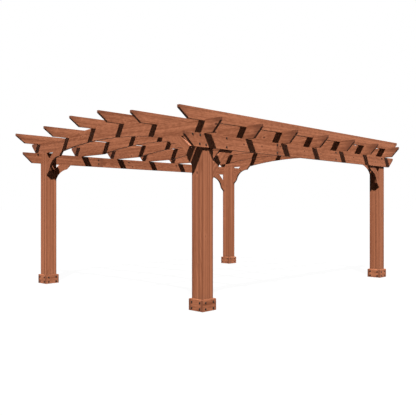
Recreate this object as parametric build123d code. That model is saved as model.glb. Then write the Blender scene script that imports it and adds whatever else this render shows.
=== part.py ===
"""Free-standing timber pergola with arched rafters, curved knee braces and boxed post bases.

Frame: millimetres, +Z up, origin on the ground at the centre of the four posts.
+X runs along the long side, +Y from the front pair of posts to the back pair.
"""

import math
import os

from build123d import *

# Plan of the four posts, centre to centre
POST_SPACING_X = 4400
POST_SPACING_Y = 3480

# Boards and posts, dressed sizes
BOARD_THICKNESS = 38
POST_WIDTH = 178
POST_TOP = 2093
POST_HOUSING = 19

# V grooves where the three layers of a post meet
GROOVE_DEPTH = 3

# Collars round the feet of the posts
COLLAR_HEIGHT = 140
COLLAR_THICKNESS = 27
COLLAR_CHAMFER = 6

# Main beams, let into the outer faces of the posts, each in two lengths with a half lap
BEAM_DEPTH = 163
BEAM_LENGTH = 5194
BEAM_SETBACK = 153
BEAM_NIB = 30
LAP_LENGTH = 150
LAP_FRONT = -800
LAP_BACK = -1160

# Arched rafters across the beams
RAFTER_COUNT = 7
RAFTER_LENGTH = 4216
RAFTER_END_DEPTH = 166
RAFTER_SETBACK = 126
RAFTER_NIB = 33
TOP_ARCH_SPAN = 2400
TOP_ARCH_RISE = 121
UNDER_ARCH_SPAN = 2370
UNDER_ARCH_RISE = 97

# Purlins along the roof, notched over the rafters
PURLIN_LENGTH = 5410
PURLIN_DEPTH = 140
PURLIN_SETBACK = 150
PURLIN_NIB = 32
PURLIN_SEAT = 20
PURLIN_PLACES = (-1854, -1012, -328, 328, 1012, 1854)

# Knee braces: a straight back, straight noses and a concave lower edge
BRACE_DROP = 360
BRACE_RUN_X = 360
BRACE_RUN_Y = 445
BRACE_BACK = 0.44
BRACE_NOSE = 75
BRACE_HOLLOW_X = (148, 148)
BRACE_HOLLOW_Y = (172, 135)

OUT = "parts"


def board_along_x(outline, y_low, thickness=BOARD_THICKNESS):
    """A board whose side outline, in X and Z, is drawn and then thickened along Y."""
    face = Plane.XZ.offset(-y_low) * outline
    return extrude(face, amount=-thickness)


def board_along_y(outline, x_low, thickness=BOARD_THICKNESS):
    """A board whose side outline, in Y and Z, is drawn and then thickened along X."""
    face = Plane.YZ.offset(x_low) * outline
    return extrude(face, amount=thickness)


def box_between(low, high):
    """An upright box between two opposite corners."""
    size = [b - a for a, b in zip(low, high)]
    return Pos(*low) * Box(*size, align=(Align.MIN, Align.MIN, Align.MIN))


def tailed_outline(length, bottom, depth, setback, nib):
    """Side of a straight board: a short upright nib at each tip, then a slanted cut back below."""
    tip = length / 2
    top = bottom + depth
    right = [(tip, top), (tip, top - nib), (tip - setback, bottom)]
    left = [(-u, v) for u, v in reversed(right)]
    return make_face(Polyline(*right, *left, close=True))


def arc_height(place, span, rise):
    """Height of an arc of this span and rise above its springing line."""
    radius = (span**2 / 4 + rise**2) / (2 * rise)
    if abs(place) >= span / 2:
        return 0.0
    return math.sqrt(radius**2 - place**2) - (radius - rise)


def rafter_outline():
    """Side of an arched rafter: level seats and tails, with an arc above and an arc below."""
    tip = RAFTER_LENGTH / 2
    low = POST_TOP
    high = low + RAFTER_END_DEPTH
    heel = tip - RAFTER_SETBACK
    top = TOP_ARCH_SPAN / 2
    under = UNDER_ARCH_SPAN / 2
    with BuildSketch() as side:
        with BuildLine():
            Polyline((top, high), (tip, high), (tip, high - RAFTER_NIB), (heel, low), (under, low))
            ThreePointArc((under, low), (0, low + UNDER_ARCH_RISE), (-under, low))
            Polyline((-under, low), (-heel, low), (-tip, high - RAFTER_NIB), (-tip, high), (-top, high))
            ThreePointArc((-top, high), (0, high + TOP_ARCH_RISE), (top, high))
        make_face()
    return side.sketch


def rafter_top(y):
    """Height of the top edge of a rafter at a distance from the middle."""
    return POST_TOP + RAFTER_END_DEPTH + arc_height(y, TOP_ARCH_SPAN, TOP_ARCH_RISE)


def rafter_places():
    """Middles of the rafters along X, the outer two flush with the outer faces of the posts."""
    end = (POST_SPACING_X + POST_WIDTH - BOARD_THICKNESS) / 2
    step = 2 * end / (RAFTER_COUNT - 1)
    return [step * n - end for n in range(RAFTER_COUNT)]


def rafter(x):
    """An arched rafter centred on x."""
    return board_along_y(rafter_outline(), x - BOARD_THICKNESS / 2)


def purlin(y, rafters):
    """A purlin let down over the rafters, with a shallow notch at each."""
    bottom = rafter_top(y) - PURLIN_SEAT
    outline = tailed_outline(PURLIN_LENGTH, bottom, PURLIN_DEPTH, PURLIN_SETBACK, PURLIN_NIB)
    board = board_along_x(outline, y - BOARD_THICKNESS / 2)
    for piece in rafters:
        board -= piece
    return board


def post(x, y):
    """A square post of three layers, grooved at the joints and housed for the beam at its top."""
    half = POST_WIDTH / 2
    body = Pos(x, y, POST_TOP / 2) * Box(POST_WIDTH, POST_WIDTH, POST_TOP)
    groove_side = GROOVE_DEPTH * math.sqrt(2)
    groove = Rot(0, 0, 45) * Box(groove_side, groove_side, POST_TOP)
    for joint in (-POST_WIDTH / 6, POST_WIDTH / 6):
        for side in (-half, half):
            body -= Pos(x + joint, y + side, POST_TOP / 2) * groove
            body -= Pos(x + side, y + joint, POST_TOP / 2) * groove
    outer = y + math.copysign(half, y)
    inner = outer - math.copysign(POST_HOUSING, y)
    low_y, high_y = sorted((inner, outer + math.copysign(POST_HOUSING, y)))
    housing = box_between((x - half, low_y, POST_TOP - BEAM_DEPTH), (x + half, high_y, POST_TOP))
    return body - housing


def collar(x, y):
    """Four boards round the foot of a post, as the pair along X and the pair along Y."""
    half = POST_WIDTH / 2
    outer = half + COLLAR_THICKNESS
    body = Pos(x, y, COLLAR_HEIGHT / 2) * Box(2 * outer, 2 * outer, COLLAR_HEIGHT)
    body = chamfer(body.faces().sort_by(Axis.Z)[-1].edges(), COLLAR_CHAMFER)
    body -= box_between((x - half, y - half, 0), (x + half, y + half, COLLAR_HEIGHT))
    middle = box_between((x - outer, y - half, 0), (x + outer, y + half, COLLAR_HEIGHT))
    return body - middle, body & middle


def beam_lengths(side, lap):
    """A main beam as its left and right lengths, half lapped at one place along X."""
    outline = tailed_outline(BEAM_LENGTH, POST_TOP - BEAM_DEPTH, BEAM_DEPTH, BEAM_SETBACK, BEAM_NIB)
    outer = side * (POST_SPACING_Y / 2 + POST_WIDTH / 2 - POST_HOUSING + BOARD_THICKNESS)
    inner = outer - side * BOARD_THICKNESS
    middle = (inner + outer) / 2
    board = board_along_x(outline, min(inner, outer))
    low = POST_TOP - BEAM_DEPTH
    start = lap - LAP_LENGTH / 2
    end = lap + LAP_LENGTH / 2
    far = BEAM_LENGTH / 2
    in_y = sorted((inner, middle))
    out_y = sorted((middle, outer))
    right = box_between((end, in_y[0], low), (far, in_y[1], POST_TOP))
    right += box_between((start, out_y[0], low), (far, out_y[1], POST_TOP))
    return board - right, board & right


def brace_outline(run, hollow):
    """Side of a knee brace in the corner at the origin, its run along the top and its drop below."""
    drop = BRACE_DROP
    nose = BRACE_NOSE
    over, down = hollow
    with BuildSketch() as side:
        with BuildLine():
            Polyline((run - nose, -nose), (run, 0), (BRACE_BACK * run, 0), (0, -BRACE_BACK * drop))
            Polyline((0, -BRACE_BACK * drop), (0, -drop), (nose, nose - drop))
            ThreePointArc((nose, nose - drop), (over, -down), (run - nose, -nose))
        make_face()
    return side.sketch


def brace_along_x(x, y):
    """A knee brace from a post to the underside of the beam."""
    outline = brace_outline(BRACE_RUN_X, BRACE_HOLLOW_X)
    if x > 0:
        outline = mirror(outline, Plane.YZ)
    foot = x - math.copysign(POST_WIDTH / 2, x)
    outer = y + math.copysign(POST_WIDTH / 2, y)
    low = min(outer, outer - math.copysign(BOARD_THICKNESS, y))
    return board_along_x(Pos(foot, POST_TOP - BEAM_DEPTH) * outline, low)


def brace_along_y(x, y):
    """A knee brace from a post to the level underside of the rafter above it."""
    outline = brace_outline(BRACE_RUN_Y, BRACE_HOLLOW_Y)
    if y > 0:
        outline = mirror(outline, Plane.YZ)
    foot = y - math.copysign(POST_WIDTH / 2, y)
    outer = x + math.copysign(POST_WIDTH / 2, x)
    low = min(outer, outer - math.copysign(BOARD_THICKNESS, x))
    return board_along_y(Pos(foot, POST_TOP) * outline, low)


def save(piece, name):
    """Write one named piece."""
    export_step(piece, os.path.join(OUT, name + ".step"))


def main():
    os.makedirs("parts", exist_ok=True)
    rafters = [rafter(x) for x in rafter_places()]
    for n, piece in enumerate(rafters, 1):
        save(piece, f"rafter_{n}")
    for n, y in enumerate(PURLIN_PLACES, 1):
        save(purlin(y, rafters), f"purlin_{n}")
    for row, sy, lap in (("front", -1, LAP_FRONT), ("back", 1, LAP_BACK)):
        left, right = beam_lengths(sy, lap)
        save(left, f"beam_{row}_left")
        save(right, f"beam_{row}_right")
        for end, sx in (("left", -1), ("right", 1)):
            name = f"{row}_{end}"
            x = sx * POST_SPACING_X / 2
            y = sy * POST_SPACING_Y / 2
            save(post(x, y), f"post_{name}")
            long_boards, short_boards = collar(x, y)
            save(long_boards, f"collar_{name}_x")
            save(short_boards, f"collar_{name}_y")
            save(brace_along_x(x, y), f"brace_{name}_x")
            save(brace_along_y(x, y), f"brace_{name}_y")


main()
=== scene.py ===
"""Looks of the timber pergola: stained boards, dark fixings, sun from behind the camera, white ground.

Metres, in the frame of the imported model: +Z up, the long side along X.
"""

import math

import bmesh
import bpy
from mathutils import Matrix, Vector


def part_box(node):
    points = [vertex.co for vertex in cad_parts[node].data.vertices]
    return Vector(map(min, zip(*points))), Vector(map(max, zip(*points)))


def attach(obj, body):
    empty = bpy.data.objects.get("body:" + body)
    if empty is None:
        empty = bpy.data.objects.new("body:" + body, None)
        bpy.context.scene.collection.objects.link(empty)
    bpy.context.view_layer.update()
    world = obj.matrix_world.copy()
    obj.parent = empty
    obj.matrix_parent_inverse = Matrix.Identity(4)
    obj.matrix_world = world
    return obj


# Camera, as fitted to the photograph: the horizon in rows from its top, the heading in degrees from +X,
# and how far it sees
PHOTO_SIDE_PX = 416
FOCAL_PX = 564.5
HORIZON_PX = 206.3
SENSOR_MM = 36
CAMERA_PLACE = (-7.040, -6.447, 1.238)
CAMERA_HEADING = 43.64
CAMERA_REACH = 500

# Light: the way each lamp shines, its strength, its width in degrees, and the strength of the sky
SUN_DIRECTION = (0.555, 0.545, -1.0)
SUN_STRENGTH = 6.0
SUN_ANGLE = 1.0
BACK_DIRECTION = (-0.8, -0.7, -0.55)
BACK_STRENGTH = 2.2
BACK_ANGLE = 25
AMBIENT = 0.038

# Floor: half its side, its dim matt greys, how often they change in a metre, and the white that is seen
FLOOR_HALF = 150
FLOOR_GREYS = ((0.040, 0.040, 0.040), (0.045, 0.045, 0.045))
FLOOR_PATCHES = 2.0
FLOOR_WHITE = 0.96

# Stain, linear colours
STAIN_DARK = (0.26, 0.080, 0.034)
STAIN_LIGHT = (0.60, 0.218, 0.108)
KNOT_COLOUR = (0.075, 0.022, 0.010)
END_GRAIN_COLOUR = (0.16, 0.050, 0.024)
WORN_COLOUR = (0.60, 0.27, 0.155)
SEAM_COLOUR = (0.17, 0.050, 0.020)
# The colour that the posts darken to towards their feet
FOOT_DARK_COLOUR = (0.20, 0.11, 0.07)

# How each kind of piece was stained: tone, blotchiness, and whether its edges are rubbed pale
LOOKS = {
    "post": (0.0, 0.25, False),
    "collar": (0.04, 1.0, True),
    "beam": (-0.04, 1.3, True),
    "rafter": (-0.06, 1.3, True),
    "purlin": (-0.04, 1.3, True),
    "brace": (0.0, 1.0, True),
}
# How far from the cut ends of the boards they grow darker, and how dark they grow
DARKER_ENDS = {
    "collar": (0.03, 0.35),
    "beam": (0.16, 0.50),
    "rafter": (0.26, 0.75),
    "purlin": (0.20, 0.50),
}
# The axis that the grain of each kind follows; the names of a collar's boards end with theirs
GRAIN_AXES = {"post": "z", "rafter": "y", "purlin": "x", "beam": "x"}

# Patterns in the timber: how often they change in a metre along and across the grain, detail, roughness
PATTERNS = {
    "broad": ((0.35, 9, 9), 2.0, 0.5),
    "streak": ((0.4, 38, 38), 3.0, 0.6),
    "blotch": ((16, 55, 55), 2.0, 0.6),
    "fibre": ((9, 420, 420), 2.0, 0.6),
    "wear": ((3, 30, 30), 3.0, 0.5),
}
# How much the patterns and the growth rings change the stain, its level, and a lift that makes up for
# what the rings darken
STAIN_LEVEL = -0.03
BROAD_CONTRAST = 0.9
STREAK_CONTRAST = 1.7
FIBRE_CONTRAST = 0.4
RING_CONTRAST = -0.22
RING_LIFT = 0.08

# How boards differ: each is cut one step further along the timber, and its number times the scatter
# angles, through sines and cosines, spreads the boards across the timber and varies their tone
BOARD_STEP = 3.7
BOARD_SPREAD = (2.3, 1.9)
BOARD_SCATTER = (12.9, 7.3)
TONE_SPREAD = 0.05
TONE_SCATTER = 5.1

# Growth rings: their width, their bend, how often it changes in a metre, and the heights of each ring's
# wave at which late wood starts and is whole
RING_WIDTH = 0.0085
RING_BEND = (0.16, 0.16, 0.16)
RING_BEND_SCALE = (0.8, 3.0, 3.0)
LATE_WOOD = (0.1, 1.0)

# Knots: one to a cell, with so many cells to a metre along and across the grain, and width over length
KNOT_CELLS = (1.5, 8.5, 8.5)
KNOT_SHAPE = 0.6

# What a knot does to its surroundings: whole up to the first distance, gone past the second, and the
# strength of the colours and the relief, or how far the growth rings are pushed aside
KNOT_HEART = (0.008, 0.018, 0.9)
KNOT_HALO = (0.016, 0.040, 0.4)
KNOT_HOLLOW = (0.004, 0.018, -0.6)
RING_DETOUR = (0.012, 0.055, 0.018)

# Darker towards the feet, in the same way by height, after the height is lowered and made ragged by a noise
FOOT_DARKENING = (0.0, 0.22, 0.35)
FOOT_DROP = 0.14
FOOT_RAGGED = 0.25
FOOT_PATCHES = 9.0

# Joints between a post's layers: for each axis, the side with the dark one and its strength, then the
# strength of the others, where their dark and their pale are whole and gone, and the pale's share
POST_JOINTS = ((0, 1, 0.6), (1, -1, 1.0))
FAINT_JOINT = 0.25
JOINT_DARK = (0.004, 0.012)
JOINT_PALE = (0.008, 0.026)
JOINT_PALE_SHARE = 0.45
# Corners of a post: dark from the first distance to the edge, fully at the second, and their strength
POST_CORNER = (0.016, 0.005, 0.5)

# End grain: the cosines between face and grain at which it starts and is whole, and its strength at each
END_GRAIN = (0.45, 0.75, 0.0, 0.6)
# Arrises: whole up to the first cosine between the rounded and the true face, gone past the second, their
# strength, and the share of it that dark ones have
ARRIS = (0.80, 0.985, 1.0)
DARK_ARRIS = 0.55
# Wear on the pale arrises: the noise levels at which it starts and is whole, and its strength at each
WORN_PATCHES = (0.42, 0.62, 0.05, 0.5)

# Relief and sheen of the wood: the radius that softens its arrises, and the shares, depth and strength of
# what stands up from it
ARRIS_RADIUS = 0.004
ARRIS_SAMPLES = 4
FIBRE_RELIEF = 0.5
RING_RELIEF = 0.35
RELIEF_DEPTH = 0.0012
RELIEF_STRENGTH = 0.6
ROUGHNESS = 0.58
STREAK_ROUGHNESS = 0.25
SHEEN = 0.25

# Bronze coated steel: its colours, how often its patches and its grain change in a metre, and the noise
# levels of the patches between which it wears and grows rough
METAL_DARK = (0.020, 0.014, 0.011)
METAL_WORN = (0.075, 0.042, 0.026)
METAL_PATCHES = 160.0
METAL_PATCH_DETAIL = 3.0
METAL_WEAR = (0.45, 0.7)
METAL_ROUGHNESS = (0.3, 0.8, 0.38, 0.62)
METAL_GRAIN = 900.0
METAL_RELIEF_DEPTH = 0.0003
METAL_RELIEF_STRENGTH = 0.3
METALLIC = 0.7

# Fixings: a washer whose rim is softened over shares of its thickness and radius, and a six-sided head
# with a chamfer down to a share of its radius, a slight dome, and the washer's inner edge hidden below it
WASHER_RADIUS = 0.013
WASHER_THICKNESS = 0.0025
WASHER_RIM = 0.6
WASHER_FLAT = 0.93
WASHER_SIDES = 24
HEAD_RADIUS = 0.0085
HEAD_HEIGHT = 0.007
HEAD_CHAMFER = 0.002
HEAD_FLAT = 0.82
HEAD_DOME = 0.0006
HEAD_UNDERLAP = 0.8
HEAD_SIDES = 6

# Fixings on a collar's face: from the upright ends, from the top and bottom edge, and below the chamfer
COLLAR_SCREW_INSET = 0.050
COLLAR_SCREW_EDGE = 0.030
COLLAR_CHAMFER = 0.008

# Places along X and heights of the bolts on the outer face of the front beam
FRONT_BOLTS = (
    (-2.473, 2.071), (-2.351, 2.071), (-2.357, 1.968), (-2.251, 1.965), (-1.886, 2.071), (-1.886, 1.963),
    (-0.857, 2.070), (-0.857, 1.964), (-0.643, 2.071), (0.650, 2.071), (0.650, 1.964), (2.170, 2.071),
)
# Knots on the same face
FRONT_KNOTS = (
    (-1.557, 2.021), (-1.191, 2.023), (-0.210, 2.030), (0.230, 2.020), (1.200, 2.028), (1.940, 2.000),
)
# Bolts through the back beam
BACK_BOLTS = ((-2.351, 2.071), (-1.174, 2.050), (-1.174, 1.985), (-0.500, 2.050), (0.700, 2.050))


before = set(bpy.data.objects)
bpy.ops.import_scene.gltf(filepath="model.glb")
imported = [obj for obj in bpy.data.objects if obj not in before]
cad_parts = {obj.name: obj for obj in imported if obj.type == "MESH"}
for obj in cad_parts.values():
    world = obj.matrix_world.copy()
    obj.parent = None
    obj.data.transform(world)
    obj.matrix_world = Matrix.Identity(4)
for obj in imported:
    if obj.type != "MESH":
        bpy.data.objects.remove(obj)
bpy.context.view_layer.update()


def rgba(colour):
    """A colour as a socket wants it; a socket stays as it is."""
    return (*colour, 1) if isinstance(colour, tuple) else colour


class Graph:
    """Short calls for adding and joining the shader nodes of a material or a world."""

    def __init__(self, owner):
        owner.use_nodes = True
        self.tree = owner.node_tree
        self.tree.nodes.clear()

    def add(self, kind, inputs=None, **settings):
        """A node with its settings, and its inputs by name or number, as values or as sockets."""
        node = self.tree.nodes.new("ShaderNode" + kind)
        for key, value in settings.items():
            setattr(node, key, value)
        for key, value in (inputs or {}).items():
            if isinstance(value, bpy.types.NodeSocket):
                self.tree.links.new(value, node.inputs[key])
            else:
                node.inputs[key].default_value = value
        return node

    def math(self, operation, a, b=0.0, c=0.0, clamp=False):
        """Arithmetic on one to three values."""
        node = self.add("Math", {0: a, 1: b, 2: c}, operation=operation, use_clamp=clamp)
        return node.outputs[0]

    def vector(self, operation, a, b=(0, 0, 0)):
        """Arithmetic on vectors: a vector, or the number for a dot product or a length."""
        node = self.add("VectorMath", {0: a, 1: b}, operation=operation)
        return node.outputs["Value" if operation in ("DOT_PRODUCT", "LENGTH") else "Vector"]

    def ramp(self, value, low, high, to_low=0.0, to_high=1.0):
        """A smooth step of value from low to high."""
        node = self.add(
            "MapRange",
            {"Value": value, "From Min": low, "From Max": high, "To Min": to_low, "To Max": to_high},
            interpolation_type="SMOOTHSTEP",
        )
        return node.outputs["Result"]

    def fade(self, distance, whole, gone, strength):
        """A mark of some strength, whole up to a distance and gone past another."""
        return self.ramp(distance, whole, gone, strength, 0.0)

    def gap(self, a, b):
        """How far apart two numbers are."""
        return self.math("ABSOLUTE", self.math("SUBTRACT", a, b))

    def sway(self, level, noise, amount):
        """A level moved up and down by a noise that varies about 0.5."""
        return self.math("MULTIPLY_ADD", noise, amount, self.math("ADD", level, -amount / 2))

    def mix(self, share, a, b):
        """Colour a turning to colour b."""
        node = self.add("Mix", {0: share, 6: rgba(a), 7: rgba(b)}, data_type="RGBA")
        return node.outputs[2]

    def mark(self, colour, distance, mark, tint):
        """Colour turned to a tint where a mark is."""
        return self.mix(self.fade(distance, *mark), colour, tint)

    def noise(self, place, scale, detail=2.0, roughness=0.5):
        """A noise that varies about 0.5."""
        node = self.add(
            "TexNoise", {"Vector": place, "Scale": scale, "Detail": detail, "Roughness": roughness}
        )
        return node.outputs[0]

    def pattern(self, place, name):
        """One of the patterns in the timber."""
        scale, detail, roughness = PATTERNS[name]
        return self.noise(self.vector("MULTIPLY", place, scale), 1.0, detail, roughness)


def kind_of(name):
    """The kind of piece that a CAD piece is, from its name."""
    return name.split("_")[0]


def grain_direction(name):
    """The way the grain of a CAD piece runs: up the slope of a brace, and along all others."""
    kind = kind_of(name)
    if kind != "brace":
        axis = GRAIN_AXES.get(kind, name[-1])
        return tuple(float(axis == letter) for letter in "xyz")
    low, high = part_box(name)
    axis, rising = (0, "left") if name.endswith("x") else (1, "front")
    run = high[axis] - low[axis]
    slope = Vector((0, 0, high[2] - low[2]))
    slope[axis] = run if rising in name else -run
    return tuple(slope.normalized())


def board_shift(seed):
    """Where in the timber a board is cut, so that no two are alike."""
    return (
        seed * BOARD_STEP,
        math.sin(seed * BOARD_SCATTER[0]) * BOARD_SPREAD[0],
        math.cos(seed * BOARD_SCATTER[1]) * BOARD_SPREAD[1],
    )


def grain_place(graph, grain, seed):
    """Coordinates with X along the grain: as they are, and shifted for each board."""
    turn = Vector(grain).rotation_difference(Vector((1, 0, 0))).to_euler()
    here = graph.add("TexCoord").outputs["Object"]
    along = graph.add("Mapping", {"Vector": here, "Rotation": turn}).outputs[0]
    return along, graph.vector("ADD", along, board_shift(seed))


def knot_distance(graph, place):
    """Distance in metres to the nearest of many knots scattered through the timber."""
    cells = graph.vector("MULTIPLY", place, KNOT_CELLS)
    nearest = graph.add("TexVoronoi", {"Vector": cells, "Scale": 1.0}, feature="F1").outputs["Position"]
    away = graph.vector("SUBTRACT", nearest, cells)
    metres = (KNOT_SHAPE / KNOT_CELLS[0], 1 / KNOT_CELLS[1], 1 / KNOT_CELLS[2])
    return graph.vector("LENGTH", graph.vector("MULTIPLY", away, metres))


def placed_knots(graph, distance, points):
    """The same distance, with knots at given points of the frame added."""
    here = graph.add("TexCoord").outputs["Object"]
    for point in points:
        away = graph.vector("LENGTH", graph.vector("SUBTRACT", here, point))
        distance = graph.math("MINIMUM", distance, away)
    return distance


def late_wood(graph, place, distance):
    """Growth rings about a pith beside the board, bent by slow noise and pushed aside by knots."""
    slow = graph.vector("MULTIPLY", place, RING_BEND_SCALE)
    noise = graph.add("TexNoise", {"Vector": slow, "Scale": 1.0, "Detail": 1.0}).outputs["Color"]
    bend = graph.vector("MULTIPLY", graph.vector("SUBTRACT", noise, (0.5, 0.5, 0.5)), RING_BEND)
    bent = graph.add("SeparateXYZ", {0: graph.vector("ADD", place, bend)}).outputs
    squares = graph.math("MULTIPLY_ADD", bent[1], bent[1], graph.math("POWER", bent[2], 2))
    radius = graph.math("ADD", graph.math("SQRT", squares), graph.fade(distance, *RING_DETOUR))
    wave = graph.math("SINE", graph.math("MULTIPLY", radius, 2 * math.pi / RING_WIDTH))
    return graph.ramp(wave, *LATE_WOOD)


def stain_shade(graph, place, rings, streak, fibre, tone, blotchiness):
    """How light the stain is, in blotches, streaks and fibres of four sizes and in the growth rings."""
    shade = graph.math("MULTIPLY_ADD", graph.pattern(place, "broad"), BROAD_CONTRAST, tone + STAIN_LEVEL)
    shade = graph.sway(shade, streak, STREAK_CONTRAST)
    shade = graph.sway(shade, graph.pattern(place, "blotch"), blotchiness)
    shade = graph.sway(shade, fibre, FIBRE_CONTRAST)
    return graph.math("MULTIPLY_ADD", rings, RING_CONTRAST, graph.math("ADD", shade, RING_LIFT), clamp=True)


def darker_ends(graph, colour, name, grain, along, streak):
    """Darker near the cut ends, and on the end grain itself."""
    axis = grain.index(1)
    low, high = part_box(name)
    reach, strength = DARKER_ENDS[kind_of(name)]
    here = graph.add("SeparateXYZ", {0: along}).outputs[0]
    to_low = graph.math("SUBTRACT", here, low[axis])
    to_high = graph.math("SUBTRACT", high[axis], here)
    ragged = graph.sway(graph.math("MINIMUM", to_low, to_high), streak, reach)
    colour = graph.mark(colour, ragged, (0.0, reach, strength), END_GRAIN_COLOUR)
    normal = graph.add("NewGeometry").outputs["True Normal"]
    facing = graph.math("ABSOLUTE", graph.vector("DOT_PRODUCT", normal, grain))
    return graph.mix(graph.ramp(facing, *END_GRAIN), colour, END_GRAIN_COLOUR)


def knot_marks(graph, colour, distance):
    """Knots with a dark heart and a pale halo."""
    colour = graph.mark(colour, distance, KNOT_HALO, STAIN_LIGHT)
    return graph.mark(colour, distance, KNOT_HEART, KNOT_COLOUR)


def arris_marks(graph, colour, place, rounded, pale):
    """Arrises rubbed pale in patches, or dark where the stain gathered."""
    normal = graph.add("NewGeometry").outputs["True Normal"]
    arris = graph.fade(graph.vector("DOT_PRODUCT", rounded, normal), *ARRIS)
    if not pale:
        return graph.mix(graph.math("MULTIPLY", arris, DARK_ARRIS), colour, SEAM_COLOUR)
    patchy = graph.ramp(graph.pattern(place, "wear"), *WORN_PATCHES)
    return graph.mix(graph.math("MULTIPLY", arris, patchy), colour, WORN_COLOUR)


def post_joints(graph, colour, here, low, high):
    """Dark joints between a post's layers, pale beside them."""
    third = (high[0] - low[0]) / 3
    for axis, dark_side, darkness in POST_JOINTS:
        middle = (low[axis] + high[axis]) / 2
        for side in (-1, 1):
            away = graph.gap(here[axis], middle + side * third / 2)
            strength = darkness if side == dark_side else FAINT_JOINT
            colour = graph.mark(colour, away, (*JOINT_PALE, strength * JOINT_PALE_SHARE), STAIN_LIGHT)
            colour = graph.mark(colour, away, (*JOINT_DARK, strength), SEAM_COLOUR)
    return colour


def post_corners(graph, colour, here, low, high):
    """Dark corners, where a post's surface is near its edge along both X and Y."""
    half = (high[0] - low[0]) / 2
    offsets = [graph.gap(here[axis], (low[axis] + high[axis]) / 2) for axis in (0, 1)]
    start, full, strength = POST_CORNER
    corner = graph.ramp(graph.math("MINIMUM", *offsets), half - start, half - full, 0.0, strength)
    return graph.mix(corner, colour, SEAM_COLOUR)


def darken_towards_foot(graph, colour, place, height):
    """Darker towards the foot, up to an uneven height."""
    raised = graph.math("ADD", height, -FOOT_DROP)
    ragged = graph.math("MULTIPLY_ADD", graph.noise(place, FOOT_PATCHES), FOOT_RAGGED, raised)
    return graph.mark(colour, ragged, FOOT_DARKENING, FOOT_DARK_COLOUR)


def post_marks(graph, colour, name):
    """The marks that only posts have: joints, corners and darkening towards the foot."""
    low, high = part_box(name)
    place = graph.add("TexCoord").outputs["Object"]
    here = graph.add("SeparateXYZ", {0: place}).outputs
    colour = post_joints(graph, colour, here, low, high)
    colour = post_corners(graph, colour, here, low, high)
    return darken_towards_foot(graph, colour, place, here[2])


def wood_relief(graph, rings, fibre, distance, rounded):
    """The normal over raised fibre and late wood, hollow knots and rounded arrises."""
    height = graph.math("MULTIPLY_ADD", fibre, FIBRE_RELIEF, graph.math("MULTIPLY", rings, RING_RELIEF))
    height = graph.math("ADD", height, graph.fade(distance, *KNOT_HOLLOW))
    bump = graph.add(
        "Bump",
        {"Height": height, "Normal": rounded, "Distance": RELIEF_DEPTH, "Strength": RELIEF_STRENGTH},
    )
    return bump.outputs[0]


def wood(name, seed, knots):
    """Stained softwood for one CAD piece, with knots of its own at given points."""
    kind = kind_of(name)
    tone, blotchiness, pale = LOOKS[kind]
    tone += TONE_SPREAD * math.sin(seed * TONE_SCATTER)
    grain = grain_direction(name)
    material = bpy.data.materials.new(name + "_wood")
    graph = Graph(material)
    along, place = grain_place(graph, grain, seed)
    distance = placed_knots(graph, knot_distance(graph, place), knots)
    rings = late_wood(graph, place, distance)
    streak = graph.pattern(place, "streak")
    fibre = graph.pattern(place, "fibre")
    rounded = graph.add("Bevel", {"Radius": ARRIS_RADIUS}, samples=ARRIS_SAMPLES).outputs[0]
    shade = stain_shade(graph, place, rings, streak, fibre, tone, blotchiness)
    colour = graph.mix(shade, STAIN_DARK, STAIN_LIGHT)
    if kind in DARKER_ENDS:
        colour = darker_ends(graph, colour, name, grain, along, streak)
    colour = knot_marks(graph, colour, distance)
    colour = arris_marks(graph, colour, place, rounded, pale)
    if kind == "post":
        colour = post_marks(graph, colour, name)
    shader = graph.add(
        "BsdfPrincipled",
        {
            "Base Color": colour,
            "Roughness": graph.math("MULTIPLY_ADD", streak, STREAK_ROUGHNESS, ROUGHNESS),
            "Normal": wood_relief(graph, rings, fibre, distance, rounded),
            "Specular IOR Level": SHEEN,
        },
    )
    graph.add("OutputMaterial", {"Surface": shader.outputs[0]})
    return material


def fixing_metal():
    """Dark bronze coated steel with a little wear."""
    material = bpy.data.materials.new("fixing_metal")
    graph = Graph(material)
    place = graph.add("TexCoord").outputs["Object"]
    patches = graph.noise(place, METAL_PATCHES, METAL_PATCH_DETAIL)
    grain = graph.noise(place, METAL_GRAIN)
    bump = graph.add(
        "Bump", {"Height": grain, "Distance": METAL_RELIEF_DEPTH, "Strength": METAL_RELIEF_STRENGTH}
    )
    shader = graph.add(
        "BsdfPrincipled",
        {
            "Base Color": graph.mix(graph.ramp(patches, *METAL_WEAR), METAL_DARK, METAL_WORN),
            "Metallic": METALLIC,
            "Roughness": graph.ramp(patches, *METAL_ROUGHNESS),
            "Normal": bump.outputs[0],
        },
    )
    graph.add("OutputMaterial", {"Surface": shader.outputs[0]})
    return material


def dress_frame():
    """Give every CAD piece a wood of its own, with the grain along its length."""
    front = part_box("beam_front_right")[0][1]
    front_knots = [(x, front, z) for x, z in FRONT_KNOTS]
    for seed, (name, piece) in enumerate(sorted(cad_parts.items()), 1):
        material = wood(name, seed, front_knots if name.startswith("beam_front") else ())
        for slot in piece.material_slots:
            slot.material = material


def add_rings(mesh, spot, profile, sides):
    """Skin a profile of (radius, height) pairs round the local Z axis of a spot."""
    rings = []
    for radius, height in profile:
        if radius == 0:
            rings.append([mesh.verts.new(spot @ Vector((0, 0, height)))])
            continue
        ring = []
        for n in range(sides):
            angle = 2 * math.pi * n / sides
            corner = Vector((radius * math.cos(angle), radius * math.sin(angle), height))
            ring.append(mesh.verts.new(spot @ corner))
        rings.append(ring)
    for low, high in zip(rings, rings[1:]):
        for n in range(sides):
            m = (n + 1) % sides
            if len(high) == 1:
                mesh.faces.new((low[n], low[m], high[0]))
            else:
                mesh.faces.new((low[n], low[m], high[m], high[n]))


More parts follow.
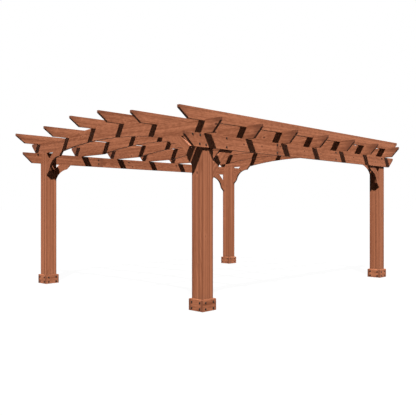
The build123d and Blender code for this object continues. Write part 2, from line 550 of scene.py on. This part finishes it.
def add_fixing(mesh, place, outward):
    """A bolt head on a washer, both with softened rims, standing out from a face."""
    turn = Vector((0, 0, 1)).rotation_difference(Vector(outward)).to_matrix().to_4x4()
    spot = Matrix.Translation(place) @ turn
    washer = [
        (WASHER_RADIUS, 0.0),
        (WASHER_RADIUS, WASHER_THICKNESS * WASHER_RIM),
        (WASHER_RADIUS * WASHER_FLAT, WASHER_THICKNESS),
        (HEAD_RADIUS * HEAD_UNDERLAP, WASHER_THICKNESS),
    ]
    add_rings(mesh, spot, washer, WASHER_SIDES)
    top = WASHER_THICKNESS + HEAD_HEIGHT
    head = [
        (HEAD_RADIUS, WASHER_THICKNESS),
        (HEAD_RADIUS, top - HEAD_CHAMFER),
        (HEAD_RADIUS * HEAD_FLAT, top),
        (0.0, top + HEAD_DOME),
    ]
    add_rings(mesh, spot, head, HEAD_SIDES)


def fixings(name, places, material):
    """One piece holding the fixings at (place, outward direction) pairs."""
    mesh = bmesh.new()
    for place, outward in places:
        add_fixing(mesh, place, outward)
    data = bpy.data.meshes.new(name)
    mesh.to_mesh(data)
    mesh.free()
    data.materials.append(material)
    piece = bpy.data.objects.new(name, data)
    bpy.context.scene.collection.objects.link(piece)
    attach(piece, "root")


def beam_bolts(material):
    """Bolts through the main beams, on their outer faces and on the back beam's inner face too."""
    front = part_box("beam_front_right")[0][1]
    fixings("bolts_beam_front", [((x, front, z), (0, -1, 0)) for x, z in FRONT_BOLTS], material)
    low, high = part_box("beam_back_right")
    places = [((x, low[1], z), (0, -1, 0)) for x, z in BACK_BOLTS]
    places += [((x, high[1], z), (0, 1, 0)) for x, z in BACK_BOLTS]
    fixings("bolts_beam_back", places, material)


def collar_screws(material):
    """Two by two fixings on each face of each collar."""
    for row in ("front", "back"):
        for end in ("left", "right"):
            low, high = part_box(f"collar_{row}_{end}_x")
            places = []
            for z in (low[2] + COLLAR_SCREW_EDGE, high[2] - COLLAR_SCREW_EDGE - COLLAR_CHAMFER):
                for x in (low[0] + COLLAR_SCREW_INSET, high[0] - COLLAR_SCREW_INSET):
                    places.append(((x, low[1], z), (0, -1, 0)))
                    places.append(((x, high[1], z), (0, 1, 0)))
                for y in (low[1] + COLLAR_SCREW_INSET, high[1] - COLLAR_SCREW_INSET):
                    places.append(((low[0], y, z), (-1, 0, 0)))
                    places.append(((high[0], y, z), (1, 0, 0)))
            fixings(f"screws_collar_{row}_{end}", places, material)


def sun(name, direction, strength, angle):
    """A sun lamp shining along a direction, whose light isn't passed on from board to board."""
    data = bpy.data.lights.new(name, "SUN")
    data.energy = strength
    data.angle = math.radians(angle)
    data.cycles.max_bounces = 0
    lamp = bpy.data.objects.new(name, data)
    lamp.rotation_mode = "QUATERNION"
    lamp.rotation_quaternion = Vector(direction).to_track_quat("-Z", "Y")
    bpy.context.scene.collection.objects.link(lamp)
    return lamp


def far_corner(kinds):
    """The CAD pieces of some kinds at the far post, the one at the back on the right."""
    names = [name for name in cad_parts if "back_right" in name and kind_of(name) in kinds]
    return [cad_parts[name] for name in names]


def group(name, pieces):
    """A collection of pieces that a lamp tells apart."""
    collection = bpy.data.collections.new(name)
    for piece in pieces:
        collection.objects.link(piece)
    return collection


def sunlight():
    """Sun from behind the camera: as in the photograph, the roof throws no shade on the far post.

    The far post, its collar and its fixings have a lamp of their own, and only the post, its collar
    and its braces block it.
    """
    lit = far_corner(("post", "collar")) + [bpy.data.objects["screws_collar_back_right"]]
    main_lamp = sun("sun", SUN_DIRECTION, SUN_STRENGTH, SUN_ANGLE)
    unlit = group("off_far_post", lit)
    for entry in unlit.collection_objects:
        entry.light_linking.link_state = "EXCLUDE"
    main_lamp.light_linking.receiver_collection = unlit
    far_lamp = sun("far_sun", SUN_DIRECTION, SUN_STRENGTH, SUN_ANGLE)
    casters = far_corner(("post", "collar", "brace"))
    far_lamp.light_linking.receiver_collection = group("far_post", lit)
    far_lamp.light_linking.blocker_collection = group("far_post_casters", casters)


def seen_rays(graph):
    """1 for camera, glossy and transmission rays, which show the background, and 0 for the rest."""
    path = graph.add("LightPath").outputs
    both = graph.math("MAXIMUM", path["Is Camera Ray"], path["Is Glossy Ray"])
    return graph.math("MAXIMUM", both, path["Is Transmission Ray"])


def ground_white():
    """White where it is seen, with a dim matt surface that keeps a faint shadow."""
    material = bpy.data.materials.new("ground")
    graph = Graph(material)
    patches = graph.noise(graph.add("TexCoord").outputs["Object"], FLOOR_PATCHES)
    matt = graph.add("BsdfDiffuse", {"Color": graph.mix(patches, *FLOOR_GREYS)})
    white = graph.add("Emission", {"Strength": graph.math("MULTIPLY", seen_rays(graph), FLOOR_WHITE)})
    both = graph.add("AddShader", {0: matt.outputs[0], 1: white.outputs[0]})
    graph.add("OutputMaterial", {"Surface": both.outputs[0]})
    return material


def ground():
    """A wide level floor that throws little light back up."""
    half = FLOOR_HALF
    corners = [(-half, -half, 0), (half, -half, 0), (half, half, 0), (-half, half, 0)]
    data = bpy.data.meshes.new("ground")
    data.from_pydata(corners, [], [(0, 1, 2, 3)])
    data.materials.append(ground_white())
    floor = bpy.data.objects.new("ground", data)
    bpy.context.scene.collection.objects.link(floor)


def sky():
    """White where it is seen, and a dim even light on the timber."""
    world = bpy.data.worlds.new("sky")
    bpy.context.scene.world = world
    graph = Graph(world)
    strength = graph.add("MapRange", {"Value": seen_rays(graph), "To Min": AMBIENT, "To Max": 1.0})
    background = graph.add("Background", {"Color": (1, 1, 1, 1), "Strength": strength.outputs["Result"]})
    graph.add("OutputWorld", {"Surface": background.outputs[0]})


def camera():
    """The photograph's view: level, and turned to the fitted heading."""
    data = bpy.data.cameras.new("camera")
    data.sensor_width = SENSOR_MM
    data.lens = FOCAL_PX / PHOTO_SIDE_PX * SENSOR_MM
    data.shift_y = (HORIZON_PX - PHOTO_SIDE_PX / 2) / PHOTO_SIDE_PX
    data.clip_end = CAMERA_REACH
    eye = bpy.data.objects.new("camera", data)
    eye.location = CAMERA_PLACE
    eye.rotation_euler = (math.pi / 2, 0, math.radians(CAMERA_HEADING - 90))
    bpy.context.scene.collection.objects.link(eye)
    bpy.context.scene.camera = eye


def main():
    bpy.context.scene.view_settings.view_transform = "Standard"
    dress_frame()
    metal = fixing_metal()
    beam_bolts(metal)
    collar_screws(metal)
    sunlight()
    sun("back_light", BACK_DIRECTION, BACK_STRENGTH, BACK_ANGLE)
    ground()
    sky()
    camera()


main()
